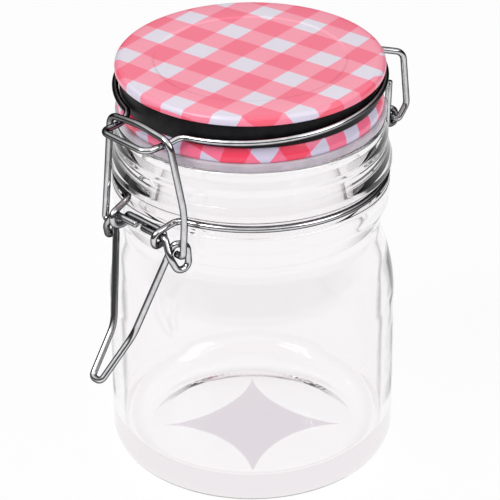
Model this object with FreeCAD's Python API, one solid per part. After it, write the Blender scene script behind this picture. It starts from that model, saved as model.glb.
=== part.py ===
import FreeCAD, Part
import math
import os

from FreeCAD import Vector

# Clip-top glass storage jar. Millimetres, +Z up. The jar's axis is the Z axis and its
# foot stands on z = 0. The latch is at the front (-Y), the lid's hinge at the back (+Y).

# Glass jar
RIM_TOP = 124.0               # height of the glass
BODY_RADIUS = 47.5
BODY_WALL = 3.5
FOOT_CORNER = 9.6             # rounding from the foot ring up to the body wall
FOOT_RING_WIDTH = 14.5        # from the body's side to where the foot ring turns up
FOOT_RING_SLOPE = (2.5, 0.5)  # width and height of the slope at its inner side
PUSH_UP = 2.6                 # height of the hollow under the floor
PUSH_UP_RADIUS = 250.0        # curve of the floor's underside
FLOOR_THICKNESS = 5.0
SHOULDER_DROP = 58.6          # from the rim down to the corner of wall and shoulder
SHOULDER_RADIUS = 56.0
WAIST_RADIUS = 42.4
WAIST_DROP = 39.65            # from the rim down to the corner of shoulder and waist
WAIST_BEND = 14.0
LIP_RADIUS = WAIST_RADIUS + 3.2       # lower neck ring, under the neck wire
LIP_DROP = (31.4, 27.0)               # from the rim to its lower edge and its full radius
GROOVE_RADIUS = WAIST_RADIUS + 0.8    # seat of the neck wire
GROOVE_DROP = (22.1, 17.4)            # from the rim to its lower and upper side
BEAD_RADIUS = WAIST_RADIUS + 3.9      # upper neck ring, above the neck wire
BEAD_DROP = 15.5
FINISH_RADIUS = WAIST_RADIUS + 2.1    # mouth of the jar, under the rim
MOUTH_WALL = 5.0
RIM_ROUNDING = 1.7
MOUTH_RADIUS = FINISH_RADIUS - MOUTH_WALL

# Lid
GASKET_RADIUS = (MOUTH_RADIUS - 1.9, FINISH_RADIUS - 0.6)
GASKET_HEIGHT = 3.0
LID_BASE = RIM_TOP + GASKET_HEIGHT
LID_HEIGHT = 16.2
LID_WALL = 0.9
HEM_RADIUS = FINISH_RADIUS - 1.5      # the lid's lower band at its hem
BAND_RADIUS = HEM_RADIUS - 1.0        # and at the groove
BAND_HEIGHT = 5.0
CAP_RADIUS = FINISH_RADIUS - 0.75
CAP_HEIGHT = 3.0
CAP_ROUNDING = 1.7
LID_STEP_WIDTH = 12.95                # from the cap's side to the round step in its top
LID_STEP_DEPTH = 0.3
GROOVE_FLOOR = CAP_RADIUS - 2.55      # floor of the lid's groove, under the black ring
BLACK_RING_WALL = 1.1
BAND_TOP = LID_BASE + BAND_HEIGHT
LID_TOP = LID_BASE + LID_HEIGHT
CAP_BOTTOM = LID_TOP - CAP_HEIGHT
LID_STEP_RADIUS = CAP_RADIUS - LID_STEP_WIDTH
BLACK_RING_RADIUS = GROOVE_FLOOR + BLACK_RING_WALL

# Wires
RING_WIRE = 1.1               # radius of the neck wire and of the lid wire
LATCH_WIRE = 1.15             # radius of the lever and of the bail
WIRE_GAP = 0.2                # from a wire to the groove or ring that it lies round
NECK_RING = {
    "radius": GROOVE_RADIUS + RING_WIRE + WIRE_GAP,
    "height": RIM_TOP - 19.8,
    "tilt": -0.5,
}
LID_RING = {
    "radius": BLACK_RING_RADIUS + RING_WIRE + WIRE_GAP,
    "height": LID_BASE + 9.2,
    "tilt": 2.9,
}

# Latch: distances across (x), depths in front of the jar's axis, and heights
EYE_X = 9.0                   # the inner side of an eye
EYE_STRAND = LIP_RADIUS + RING_WIRE + WIRE_GAP       # depth of the strand behind the pins
PIN_GAP = 0.25                # from an eye's strand to the lever's pin
LEVER_PIVOT = (EYE_STRAND + RING_WIRE + LATCH_WIRE + PIN_GAP, RIM_TOP - 23.5)
BAIL_PIVOT = (LEVER_PIVOT[0] - 1.65, LEVER_PIVOT[1] - 4.8)
LEVER_LOOP_X = EYE_X + 7.6
LOOP_HEIGHT = 8.4             # of the lever's loops round the bail's pins
LOOP_GAP = (0.5, 0.6)         # from a bail pin to the loop in front of it and above it
LEVER_PIN_END = 1.3           # from the middle plane to the end of each lever pin
LEVER_ELBOW = (4.7, BODY_RADIUS + 10.0, LEVER_PIVOT[1] - 34.9)
LEVER_TIP = (2.1, BODY_RADIUS + 22.3, LEVER_PIVOT[1] - 48.3)
TAB_HALF_WIDTH = 10.2
TAB_ROOT_Z = LID_BASE + 5.55
HOOK_GAP = 0.45               # from the lid wire's tab to the bail's bar above it
BAIL_BAR = (LEVER_PIVOT[0] - 1.0, TAB_ROOT_Z + RING_WIRE + LATCH_WIRE + HOOK_GAP)
TAB_TIP = (BAIL_BAR[0] + 7.0, TAB_ROOT_Z + 0.1)
BAIL_FOOT_X = LEVER_LOOP_X + 1.8
BAIL_TOP_X = TAB_HALF_WIDTH + RING_WIRE + LATCH_WIRE + 1.15
BAIL_ARCH = 1.4               # height of the bar's middle above its corners

# Hinge at the back
HINGE_PIVOT = (BEAD_RADIUS + 2.0, RIM_TOP - 13.0)    # depth and height of the lid wire's pins
HINGE_COIL = 2 * RING_WIRE + 0.15                    # from the pivot to the coiled wire's centre
HINGE_COIL_X = (14.8, 14.8 + 2 * RING_WIRE + 0.8)
HINGE_LEG_X = HINGE_COIL_X[1] + 2 * RING_WIRE + 0.4
HINGE_TAIL_TOP = RIM_TOP + 1.0


# ---------------------------------------------------------------- outlines and wires

def line(start, end):
    """A straight edge between two points."""
    return Part.LineSegment(start, end).toShape()


def arc(start, middle, end):
    """A round edge through three points."""
    return Part.Arc(start, middle, end).toShape()


def rz(radius, height):
    """A point of a turned outline, from its radius and height."""
    return Vector(radius, 0, height)


def unit(vector):
    """The same direction with a length of one."""
    return vector * (1.0 / vector.Length)


def fitted_reaches(corners, bends):
    """How far each corner's bend reaches along its two runs, less where a run is too short."""
    reaches = [0.0]
    for index, radius in enumerate(bends, start=1):
        back = corners[index - 1] - corners[index]
        ahead = corners[index + 1] - corners[index]
        reaches.append(radius / math.tan(back.getAngle(ahead) / 2.0))
    reaches.append(0.0)
    for index in range(len(corners) - 1):
        run = (corners[index + 1] - corners[index]).Length * 0.999
        wanted = reaches[index] + reaches[index + 1]
        if wanted > run:
            reaches[index] *= run / wanted
            reaches[index + 1] *= run / wanted
    return reaches


def rounded_run(corners, bends):
    """Straight runs through the corners, with a tangent arc of each bend radius between them."""
    edges = []
    start = corners[0]
    reaches = fitted_reaches(corners, bends)
    for index in range(1, len(corners) - 1):
        corner = corners[index]
        reach = reaches[index]
        if reach == 0.0:
            edges.append(line(start, corner))
            start = corner
            continue
        back = unit(corners[index - 1] - corner)
        ahead = unit(corners[index + 1] - corner)
        half_angle = back.getAngle(ahead) / 2.0
        radius = reach * math.tan(half_angle)
        arc_end = corner + ahead * reach
        arc_middle = corner + unit(back + ahead) * (radius / math.sin(half_angle) - radius)
        edges.append(line(start, corner + back * reach))
        edges.append(arc(corner + back * reach, arc_middle, arc_end))
        start = arc_end
    edges.append(line(start, corners[-1]))
    return edges


def turned(edges):
    """Solid made by turning a closed outline about the jar's axis."""
    face = Part.Face(Part.Wire(Part.__sortEdges__(edges)))
    return face.revolve(Vector(0, 0, 0), Vector(0, 0, 1), 360)


def closed_outline(points, bends):
    """Edges of a closed outline through points, with its corners rounded where a bend is set."""
    middle = (points[-1] + points[0]) * 0.5
    radii = [bends.get(index, 0.0) for index in range(len(points))]
    return rounded_run([middle] + points + [middle], radii)


def swept_wire(edges, radius):
    """Round wire of one radius along a path of straight runs and arcs."""
    path = Part.Wire(edges)
    first = edges[0]
    origin = first.valueAt(first.FirstParameter)
    direction = first.tangentAt(first.FirstParameter)
    section = Part.Wire(Part.makeCircle(radius, origin, direction))
    solid = path.makePipeShell([section], True, False)
    expected = math.pi * radius * radius * path.Length
    if abs(solid.Volume - expected) > 0.01 * expected:
        raise ValueError("the swept wire's volume is wrong")
    return solid


def ring_point(ring, angle):
    """Point of a tilted ring at an angle in degrees from +X."""
    turn = math.radians(angle)
    tilt = math.radians(ring["tilt"])
    x = ring["radius"] * math.cos(turn)
    y = ring["radius"] * math.sin(turn)
    return Vector(x, y * math.cos(tilt), ring["height"] + y * math.sin(tilt))


def ring_heading(ring, angle):
    """Direction along a tilted ring towards smaller angles."""
    turn = math.radians(angle)
    tilt = math.radians(ring["tilt"])
    return Vector(math.sin(turn), -math.cos(turn) * math.cos(tilt), -math.cos(turn) * math.sin(tilt))


def ring_angle(ring, x, side):
    """Angle of the ring's point at x, at the front (side -1) or the back (side +1)."""
    return side * math.degrees(math.acos(x / ring["radius"]))


def mirrored(points):
    """The same run on the other side of the jar, in the opposite order."""
    return [Vector(-point.x, point.y, point.z) for point in reversed(points)]


def mirrored_edges(edges):
    """The same edges on the other side of the jar, in the opposite order."""
    result = []
    for edge in reversed(edges):
        first = edge.valueAt(edge.FirstParameter)
        middle = edge.valueAt((edge.FirstParameter + edge.LastParameter) / 2.0)
        last = edge.valueAt(edge.LastParameter)
        start, centre, end = mirrored([first, middle, last])
        is_line = isinstance(edge.Curve, Part.Line)
        result.append(line(start, end) if is_line else arc(start, centre, end))
    return result


def front(x, depth, z):
    """A point of the latch, from its depth in front of the jar's axis."""
    return Vector(x, -depth, z)


def back(x, depth, z):
    """A point of the hinge, from its depth behind the jar's axis."""
    return Vector(x, depth, z)


# ---------------------------------------------------------------- glass jar

def jar_outside():
    """Corners of the jar's outside, from under the floor up to the rim, each with its bend."""
    foot = BODY_RADIUS - FOOT_RING_WIDTH
    slope_width, slope_height = FOOT_RING_SLOPE
    lip_low, lip_full = (RIM_TOP - drop for drop in LIP_DROP)
    groove_low, groove_high = (RIM_TOP - drop for drop in GROOVE_DROP)
    bead = RIM_TOP - BEAD_DROP
    return [
        (rz(foot / 2, PUSH_UP), PUSH_UP_RADIUS),
        (rz(foot, slope_height), 1.5),
        (rz(foot + slope_width, 0), 1.5),
        (rz(BODY_RADIUS, 0), FOOT_CORNER),
        (rz(BODY_RADIUS, RIM_TOP - SHOULDER_DROP), SHOULDER_RADIUS),
        (rz(WAIST_RADIUS, RIM_TOP - WAIST_DROP), WAIST_BEND),
        (rz(WAIST_RADIUS, lip_low - 4.2), 2.0),
        (rz(LIP_RADIUS, lip_full - 2.2), 3.0),
        (rz(LIP_RADIUS, groove_low - 0.4), 1.2),
        (rz(GROOVE_RADIUS, groove_low), 0.5),
        (rz(GROOVE_RADIUS, groove_high), 0.5),
        (rz(BEAD_RADIUS, groove_high + 0.2), 1.4),
        (rz(BEAD_RADIUS - 0.2, bead + 1.2), 3.0),
        (rz(FINISH_RADIUS - 0.1, bead + 7.3), 3.0),
        (rz(FINISH_RADIUS + 0.4, RIM_TOP - 6.0), 2.0),
        (rz(FINISH_RADIUS - 0.5, RIM_TOP - 3.0), 2.0),
        (rz(FINISH_RADIUS - 0.7, RIM_TOP), RIM_ROUNDING),
    ]


def jar_hollow():
    """Corners of the jar's hollow, from the mouth down to the floor, each with its bend."""
    inner = BODY_RADIUS - BODY_WALL
    return [
        (rz(MOUTH_RADIUS, RIM_TOP), 1.2),
        (rz(MOUTH_RADIUS, RIM_TOP - 28.8), 18.0),
        (rz(WAIST_RADIUS - 4.0, RIM_TOP - 38.3), 16.0),
        (rz(inner, RIM_TOP - 57.0), 60.0),
        (rz(inner, PUSH_UP + FLOOR_THICKNESS - 1.0), 9.0),
    ]


def jar_body():
    """The glass jar: turned outside, turned hollow, floor and rim in one outline."""
    corners = jar_outside() + jar_hollow()
    bottom, floor = rz(0, PUSH_UP), rz(0, PUSH_UP + FLOOR_THICKNESS)
    points = [bottom] + [point for point, bend in corners] + [floor]
    edges = rounded_run(points, [bend for point, bend in corners])
    return turned(edges + [line(floor, bottom)])


# ---------------------------------------------------------------- neck wire

def hinge_coil():
    """Corners of the coil round the lid's pin, from its upright tail to the neck ring."""
    depth, height = HINGE_PIVOT
    near, far = HINGE_COIL_X
    reach = HINGE_COIL
    return [
        back(far, depth - 1.8, HINGE_TAIL_TOP),
        back(far, depth - reach - 0.3, height - reach),
        back(far - 0.4, depth + reach, height - reach),
        back(far - 1.4, depth + reach, height + reach),
        back(near + 0.4, depth - reach, height + reach),
        back(near, depth - reach, height - 4.0),
    ]


def neck_eye():
    """Corners of one eye, from the ring's side to the strand between the two eyes."""
    depth, height = LEVER_PIVOT
    top = height + LATCH_WIRE + RING_WIRE + 0.05
    return [
        front(EYE_X + 0.9, depth + 2.9, top - 0.6),
        front(EYE_X + 0.6, depth + 2.9, height - 3.1),
        front(EYE_X, EYE_STRAND, height - 3.1),
        front(EYE_X - 0.5, EYE_STRAND, height + 0.3),
    ]


def neck_wire():
    """Neck wire: hinge coils with tails at the back, the ring, and two eyes at the front."""
    ring = NECK_RING
    coil = hinge_coil()
    rear = ring_angle(ring, 17.4, +1)
    nose = ring_angle(ring, 16.0, -1)
    rear_point = ring_point(ring, rear)
    nose_point = ring_point(ring, nose)
    rear_corner = rear_point - ring_heading(ring, rear) * 4.6
    nose_corner = nose_point + ring_heading(ring, nose) * 5.2
    before = rounded_run(coil + [rear_corner, rear_point], [2.2, 2.2, 2.2, 2.2, 2.2, 2.0])
    side = arc(rear_point, ring_point(ring, (rear + nose) / 2.0), nose_point)
    eye = neck_eye()
    other = mirrored(eye)
    front_run = [nose_point, nose_corner] + eye + other + mirrored([nose_point, nose_corner])
    bends = [4.0, 2.4, 2.4, 1.9, 1.4]
    middle = rounded_run(front_run, bends + bends[::-1])
    edges = before + [side] + middle + mirrored_edges([side]) + mirrored_edges(before)
    return swept_wire(edges, RING_WIRE)


# ---------------------------------------------------------------- latch

def lever():
    """Lever: pins in the neck wire's eyes, a loop round each end of the bail, and a V handle."""
    depth, height = LEVER_PIVOT
    bail_depth, bail_height = BAIL_PIVOT
    loop_front = bail_depth + 2 * LATCH_WIRE + LOOP_GAP[0]
    loop_back = depth - 5.1
    loop_top = bail_height + 2 * LATCH_WIRE + LOOP_GAP[1]
    loop_low = loop_top - LOOP_HEIGHT
    x = LEVER_LOOP_X
    half = [
        front(LEVER_PIN_END, depth, height),
        front(EYE_X + 3.0, depth, height),
        front(x - 1.6, loop_front, bail_height - 0.1),
        front(x - 0.1, depth - 1.0, loop_low),
        front(x + 0.6, loop_back, loop_low + 0.4),
        front(x, loop_back, loop_top + 0.1),
        front(x - 2.4, bail_depth + 0.15, loop_top + 0.3),
        front(x - 4.6, depth - 0.5, loop_low + 3.0),
        front(*LEVER_ELBOW),
        front(*LEVER_TIP),
    ]
    bends = [1.6, 6.0, 2.3, 2.4, 2.4, 1.9, 6.0, 14.0, 1.9]
    points = half + mirrored(half)
    return swept_wire(rounded_run(points, bends + bends[::-1]), LATCH_WIRE)


def bail():
    """Closing bail: hooked over the lid wire's tab, with a pin in each of the lever's loops."""
    depth, height = BAIL_PIVOT
    bar_depth, bar_height = BAIL_BAR
    corner_height = bar_height - BAIL_ARCH * (1 - TAB_HALF_WIDTH / BAIL_TOP_X)
    half = [
        front(LEVER_LOOP_X - 1.6, depth, height),
        front(BAIL_FOOT_X, depth, height),
        front(BAIL_FOOT_X - 0.3, depth - 1.2, height + 14.3),
        front(BAIL_TOP_X, bar_depth, corner_height),
    ]
    crown = front(0, bar_depth, corner_height + BAIL_ARCH)
    bends = [1.3, 40.0, 4.2]
    points = half + [crown] + mirrored(half)
    return swept_wire(rounded_run(points, bends + [40.0] + bends[::-1]), LATCH_WIRE)


# ---------------------------------------------------------------- lid

def lid_wire():
    """Lid wire: hinge pins and legs at the back, a ring round the lid, and the tab at the front."""
    ring = LID_RING
    depth, height = HINGE_PIVOT
    x = HINGE_LEG_X
    rear = ring_angle(ring, x - 0.6, +1)
    nose = ring_angle(ring, TAB_HALF_WIDTH + 5.2, -1)
    rear_point = ring_point(ring, rear)
    nose_point = ring_point(ring, nose)
    rear_corner = rear_point - ring_heading(ring, rear) * 3.6
    nose_corner = nose_point + ring_heading(ring, nose) * 3.4
    hinge_run = [
        back(HINGE_COIL_X[0] - 2.4, depth, height),
        back(x, depth, height),
        back(x, depth + 4.0, height + 4.6),
        back(x, depth + 1.8, ring["height"] - 1.1),
        rear_corner,
        rear_point,
    ]
    before = rounded_run(hinge_run, [1.3, 3.4, 4.0, 3.0])
    side = arc(rear_point, ring_point(ring, (rear + nose) / 2.0), nose_point)
    tab = [
        nose_point,
        nose_corner,
        front(TAB_HALF_WIDTH + 0.3, BAIL_BAR[0] - 2.0, TAB_ROOT_Z - 0.1),
        front(TAB_HALF_WIDTH, *TAB_TIP),
    ]
    bends = [4.5, 9.0, 3.2]
    middle = rounded_run(tab + mirrored(tab), bends + bends[::-1])
    edges = before + [side] + middle + mirrored_edges([side]) + mirrored_edges(before)
    return swept_wire(edges, RING_WIRE)


def lid_metal():
    """Pressed metal lid: flat top with a round step, a rolled edge, a groove and a lower band."""
    wall = LID_WALL
    step = LID_TOP - LID_STEP_DEPTH
    outside = [
        rz(0, step),
        rz(LID_STEP_RADIUS, step),
        rz(LID_STEP_RADIUS + 0.8, LID_TOP),
        rz(CAP_RADIUS, LID_TOP),
        rz(CAP_RADIUS, CAP_BOTTOM),
        rz(GROOVE_FLOOR, CAP_BOTTOM),
        rz(GROOVE_FLOOR, BAND_TOP),
        rz(BAND_RADIUS, BAND_TOP),
        rz(HEM_RADIUS + 0.3, LID_BASE + 2.2),
        rz(HEM_RADIUS, LID_BASE),
        rz(HEM_RADIUS - wall - 0.6, LID_BASE),
        rz(GROOVE_FLOOR - wall, BAND_TOP - 1.6),
        rz(GROOVE_FLOOR - wall, step - wall),
        rz(0, step - wall),
    ]
    bends = {1: 0.5, 2: 0.5, 3: CAP_ROUNDING, 4: 0.5, 7: 0.8, 8: 3.0, 9: 0.5, 10: 0.4, 11: 1.0, 12: 0.8}
    return turned(closed_outline(outside, bends))


def black_ring():
    """Black ring that fills the lid's groove behind the lid wire."""
    inner, outer = GROOVE_FLOOR, BLACK_RING_RADIUS
    outline = [rz(inner, BAND_TOP), rz(outer, BAND_TOP), rz(outer, CAP_BOTTOM), rz(inner, CAP_BOTTOM)]
    return turned(closed_outline(outline, {1: 0.3, 2: 0.3}))


def gasket():
    """Soft sealing ring between the jar's rim and the lid."""
    inner, outer = GASKET_RADIUS
    outline = [rz(inner, RIM_TOP), rz(outer, RIM_TOP), rz(outer, LID_BASE), rz(inner, LID_BASE)]
    return turned(closed_outline(outline, {0: 0.4, 1: 0.9, 2: 0.7, 3: 0.4}))


# ---------------------------------------------------------------- export

NODES = {
    "glass_jar": jar_body,
    "neck_wire": neck_wire,
    "lever": lever,
    "bail": bail,
    "lid_wire": lid_wire,
    "lid_metal": lid_metal,
    "black_ring": black_ring,
    "gasket": gasket,
}


def main():
    """Builds each node and writes it to its own STEP file."""
    os.makedirs("parts", exist_ok=True)
    for name, build in NODES.items():
        shape = build()
        if not shape.isValid() or len(shape.Solids) != 1:
            raise ValueError(name + " is not one valid solid")
        shape = shape.Solids[0]
        shape.exportStep("parts/" + name + ".step")
        print(name, "volume", round(shape.Volume, 1), "mm3")


main()
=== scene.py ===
import logging
import math
from dataclasses import dataclass, field
from enum import Enum
from typing import Sequence

import bpy
from mathutils import Matrix, Vector


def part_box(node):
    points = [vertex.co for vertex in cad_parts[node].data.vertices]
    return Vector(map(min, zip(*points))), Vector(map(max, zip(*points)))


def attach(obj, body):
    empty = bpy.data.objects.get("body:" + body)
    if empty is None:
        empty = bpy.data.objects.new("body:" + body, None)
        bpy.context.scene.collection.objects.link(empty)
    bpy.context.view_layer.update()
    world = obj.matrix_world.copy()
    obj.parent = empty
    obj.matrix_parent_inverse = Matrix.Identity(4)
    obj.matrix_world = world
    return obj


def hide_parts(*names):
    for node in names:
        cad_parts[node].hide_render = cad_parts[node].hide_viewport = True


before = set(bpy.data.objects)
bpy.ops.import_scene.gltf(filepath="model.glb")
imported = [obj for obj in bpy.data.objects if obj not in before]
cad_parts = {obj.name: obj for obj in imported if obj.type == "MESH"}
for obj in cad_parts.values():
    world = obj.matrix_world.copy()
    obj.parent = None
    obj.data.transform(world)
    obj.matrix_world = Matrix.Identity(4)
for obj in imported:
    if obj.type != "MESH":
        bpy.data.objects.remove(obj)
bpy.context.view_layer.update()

MM = 0.001
Pair = tuple[float, float]
Triple = tuple[float, float, float]
Colour = Triple
Piece = bpy.types.Object
Material = bpy.types.Material
Socket = bpy.types.NodeSocket
log = logging.getLogger("storage_jar")


class Body(Enum):
    """The moving bodies of the jar."""

    JAR = "jar"
    LID = "lid"
    LEVER = "lever"
    BAIL = "bail"


class Side(Enum):
    """Which side of the jar's axis a wire crosses the middle plane on."""

    FRONT = -1.0
    BACK = 1.0


def mm(x: float, y: float, z: float) -> Vector:
    """A point in metres from millimetres."""
    return Vector((x, y, z)) * MM


# ------------------------------------------------------------------ modelling bench


@dataclass(frozen=True)
class Corner:
    """One corner of an outline or a wire, in metres, and the round that it gets."""

    place: Vector
    radius: float = 0.0
    steps: int = 8


def rz(radius: float, height: float, rounding: float = 0.0, steps: int = 6) -> Corner:
    """A corner of a turned outline, with all its sizes in millimetres."""
    return Corner(mm(radius, 0.0, height), rounding * MM, steps)


def mirrored(corners: Sequence[Corner]) -> list[Corner]:
    """The same corners on the other side of the jar, in the opposite order."""
    return [
        Corner(Vector((-corner.place.x, corner.place.y, corner.place.z)), corner.radius, corner.steps)
        for corner in reversed(corners)
    ]


class Bench:
    """Steps that every piece is made with."""

    @staticmethod
    def clear() -> None:
        """Leaves nothing selected."""
        bpy.ops.object.select_all(action="DESELECT")

    @staticmethod
    def enter(name: str) -> Piece:
        """Names the primitive just added, fixes its place in its mesh and opens it for editing.

        Args:
            name: The piece's name.

        Returns:
            The piece, in edit mode with everything selected.
        """
        piece = bpy.context.object
        piece.name = name
        piece.data.name = name
        bpy.ops.object.transform_apply(location=True, rotation=True, scale=True)
        bpy.ops.object.mode_set(mode="EDIT")
        bpy.ops.mesh.select_mode(type="VERT")
        bpy.ops.mesh.select_all(action="SELECT")
        return piece

    @staticmethod
    def leave(piece: Piece, smooth: float) -> Piece:
        """Merges doubled vertices, turns all faces outwards and shades the piece.

        Args:
            piece: The piece, in edit mode.
            smooth: Edges that turn less than this many degrees are shaded smooth.

        Returns:
            The piece, in object mode.
        """
        bpy.ops.mesh.select_all(action="SELECT")
        bpy.ops.mesh.remove_doubles(threshold=0.002 * MM)
        bpy.ops.mesh.normals_make_consistent(inside=False)
        bpy.ops.object.mode_set(mode="OBJECT")
        bpy.ops.object.shade_smooth_by_angle(angle=math.radians(smooth))
        piece.select_set(False)
        return piece


class Tracer:
    """Leads what is selected along a path: a point leaves a line, a circle leaves a round bar."""

    def __init__(self, start: Vector) -> None:
        """Starts where the selection's middle is."""
        self.here = start

    def straight(self, goal: Vector) -> None:
        """Extrudes the selection straight to a goal."""
        step = goal - self.here
        if step.length > 0.001 * MM:
            bpy.ops.mesh.extrude_region_move(TRANSFORM_OT_translate={"value": step})
        self.here = goal

    def turn(self, centre: Vector, axis: Vector, angle: float, steps: int, goal: Vector) -> None:
        """Spins the selection about an axis by the right-hand rule, which leaves it at a goal."""
        bpy.ops.mesh.spin(steps=steps, angle=angle, center=centre, axis=-axis)
        self.here = goal

    def corner(self, corner: Corner, after: Vector) -> None:
        """Runs up to a corner and round it, towards the point after it."""
        if corner.radius == 0.0:
            self.straight(corner.place)
            return
        back = (self.here - corner.place).normalized()
        ahead = (after - corner.place).normalized()
        half = back.angle(ahead) / 2.0
        reach = corner.radius / math.tan(half)
        centre = corner.place + (back + ahead).normalized() * (corner.radius / math.sin(half))
        self.straight(corner.place + back * reach)
        axis = ahead.cross(back).normalized()
        self.turn(centre, axis, math.pi - 2.0 * half, corner.steps, corner.place + ahead * reach)

    def follow(self, corners: Sequence[Corner]) -> None:
        """Runs along corners up to the last one.

        Args:
            corners: The corners after the point where the selection is now.
        """
        for corner, following in zip(corners, corners[1:]):
            self.corner(corner, following.place)
        self.straight(corners[-1].place)


class Lathe:
    """Turns an outline about the jar's axis."""

    STEPS = 192

    @staticmethod
    def turn(name: str, outline: Sequence[Corner], smooth: float) -> Piece:
        """Draws an outline from a single point and turns it once round.

        Args:
            name: The piece's name.
            outline: The corners in the plane y = 0, from one end to the other.
            smooth: Edges that turn less than this many degrees are shaded smooth.

        Returns:
            The closed piece.
        """
        Bench.clear()
        bpy.ops.mesh.primitive_plane_add(size=MM, location=outline[0].place)
        piece = Bench.enter(name)
        bpy.ops.mesh.merge(type="CENTER")
        Tracer(outline[0].place).follow(outline[1:])
        bpy.ops.mesh.select_all(action="SELECT")
        bpy.ops.mesh.spin(steps=Lathe.STEPS, angle=math.tau, center=(0.0, 0.0, 0.0), axis=(0.0, 0.0, 1.0))
        return Bench.leave(piece, smooth)

    @staticmethod
    def ring(name: str, section: Sequence[Corner], smooth: float) -> Piece:
        """Turns a closed section that stands clear of the axis, starting half way along its last side."""
        start = Corner((section[-1].place + section[0].place) / 2.0)
        return Lathe.turn(name, [start, *section, start], smooth)


class WireBender:
    """Draws a round wire from a circle, run by run and bend by bend."""

    SIDES = 20
    DEGREES = 2.5
    END_ROUND = 0.25 * MM

    def __init__(self, name: str, start: Vector, towards: Vector, radius: float) -> None:
        """Lays down the wire's first end.

        Args:
            name: The piece's name.
            start: The middle of its first end.
            towards: The first corner, which the end faces away from.
            radius: The wire's radius in metres.
        """
        Bench.clear()
        facing = (towards - start).to_track_quat("Z", "Y").to_euler()
        bpy.ops.mesh.primitive_circle_add(
            vertices=WireBender.SIDES, radius=radius, location=start, rotation=facing
        )
        self.piece = Bench.enter(name)
        self.tracer = Tracer(start)

    def run(self, corners: Sequence[Corner]) -> None:
        """Adds straight runs to the corners, each with its bend."""
        self.tracer.follow(corners)

    def ring(self, ring: "WireRing", start: float, end: float) -> None:
        """Adds part of a ring, from one of its angles in degrees to a smaller one."""
        steps = round((start - end) / WireBender.DEGREES)
        angle = math.radians(start - end)
        self.tracer.turn(ring.centre(), -ring.axis(), angle, steps, ring.point(end))

    def finish(self) -> Piece:
        """Closes both ends of the wire and rounds their rims.

        Returns:
            The wire.
        """
        bpy.ops.mesh.select_all(action="SELECT")
        bpy.ops.mesh.fill_holes(sides=0)
        bpy.ops.mesh.select_mode(type="EDGE")
        bpy.ops.mesh.select_all(action="DESELECT")
        bpy.ops.mesh.edges_select_sharp(sharpness=math.radians(70.0))
        bpy.ops.mesh.bevel(offset=WireBender.END_ROUND, segments=3, affect="EDGES")
        bpy.ops.mesh.select_mode(type="VERT")
        return Bench.leave(self.piece, 50.0)


# ------------------------------------------------------------------ finishes


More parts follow.
